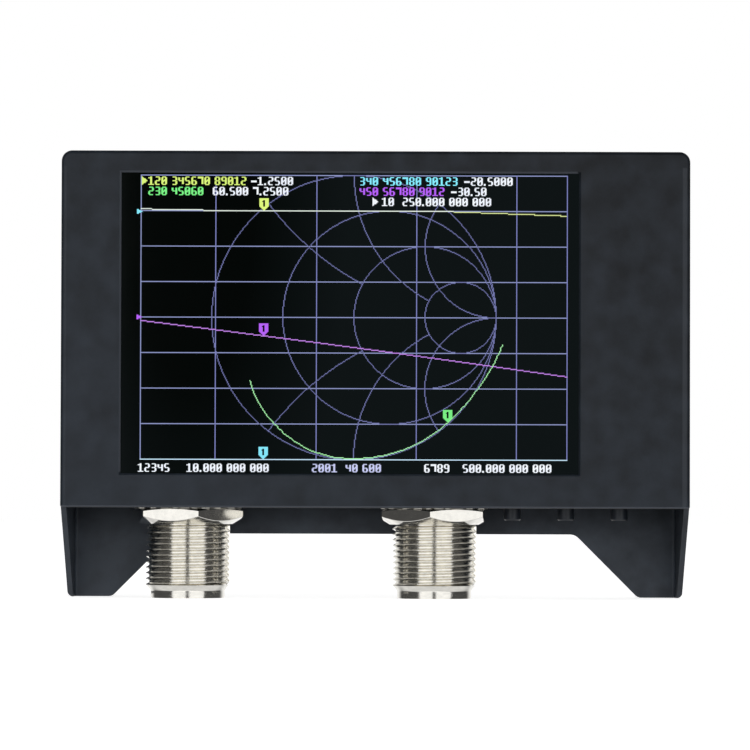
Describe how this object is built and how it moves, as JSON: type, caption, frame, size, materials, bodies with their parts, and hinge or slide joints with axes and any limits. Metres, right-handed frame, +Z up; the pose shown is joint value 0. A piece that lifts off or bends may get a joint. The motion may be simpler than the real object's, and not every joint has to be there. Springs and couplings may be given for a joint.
{
  "type": "antenna analyzer",
  "caption": "Handheld antenna analyzer: thin black case on slanted legs, offset display window, threaded coaxial ports and push buttons underneath.",
  "frame": {"origin": "midway between the sides and between the front and back faces, on the plane of the feet", "axes": "+X to the right as seen from the front, +Y to the back, +Z up; the window faces -Y"},
  "size_m": [0.117, 0.03, 0.0834],
  "materials": {
    "case_black": "fine matte powder coat",
    "screw_black": "black oxide",
    "nickel": "bright nickel plate",
    "nickel_nut": "bright nickel plate",
    "contact_gold": "gold plate",
    "insulator_white": "smooth",
    "display_glass": "clear gloss",
    "lcd_glass": "dark gloss",
    "backlight_white": "moulded",
    "foam_black": "foam",
    "board_green": "solder mask",
    "chip_black": "moulded",
    "can_steel": "tinned",
    "standoff_metal": "turned",
    "ribbon_amber": "film",
    "socket_cream": "moulded",
    "button_black": "moulded",
    "switch_steel": "stamped",
    "pipe_clear": "clear",
    "lamp_white": "moulded",
    "cell_silver": "foil pouch",
    "lead_red": "insulated"
  },
  "bodies": {
    "case": {"front_cover": "case_black", "rear_case": "case_black", "case_screws": "screw_black", "front_standoffs": "standoff_metal", "rear_standoffs": "standoff_metal", "window_gasket": "foam_black", "touch_glass": "display_glass", "lcd_panel": "lcd_glass", "backlight_frame": "backlight_white", "lcd_ribbon": "ribbon_amber", "ribbon_socket": "socket_cream", "main_board": "board_green", "board_chips": "chip_black", "shield_cans": "can_steel", "switch_frames": "switch_steel", "switch_bases": "chip_black", "switch_domes": "switch_steel", "power_switch_body": "can_steel", "usb_shell": "can_steel", "usb_tongue": "chip_black", "light_pipes": "pipe_clear", "status_lamps": "lamp_white", "battery_tape": "foam_black", "battery_cell": "cell_silver", "battery_plug": "socket_cream", "battery_leads": "lead_red", "port_1_body": "nickel", "port_1_insulator": "insulator_white", "port_1_contact": "contact_gold", "port_1_nut": "nickel_nut", "port_1_washer": "nickel_nut", "port_2_body": "nickel", "port_2_insulator": "insulator_white", "port_2_contact": "contact_gold", "port_2_nut": "nickel_nut", "port_2_washer": "nickel_nut"},
    "button_1": {"button_1": "button_black"},
    "button_2": {"button_2": "button_black"},
    "button_3": {"button_3": "button_black"},
    "power_knob": {"power_knob": "button_black"}
  },
  "joints": [
    {"name": "button_1_press", "type": "slide", "parent": "case", "child": "button_1", "axis": [0, 0, 1], "range_m": [0, 0.0003], "stiffness_N_per_m": 1500, "springref_m": -0.0003},
    {"name": "button_2_press", "type": "slide", "parent": "case", "child": "button_2", "axis": [0, 0, 1], "range_m": [0, 0.0003], "stiffness_N_per_m": 1500, "springref_m": -0.0003},
    {"name": "button_3_press", "type": "slide", "parent": "case", "child": "button_3", "axis": [0, 0, 1], "range_m": [0, 0.0003], "stiffness_N_per_m": 1500, "springref_m": -0.0003},
    {"name": "power_slide", "type": "slide", "parent": "case", "child": "power_knob", "axis": [1, 0, 0], "range_m": [0, 0.002]}
  ]
}
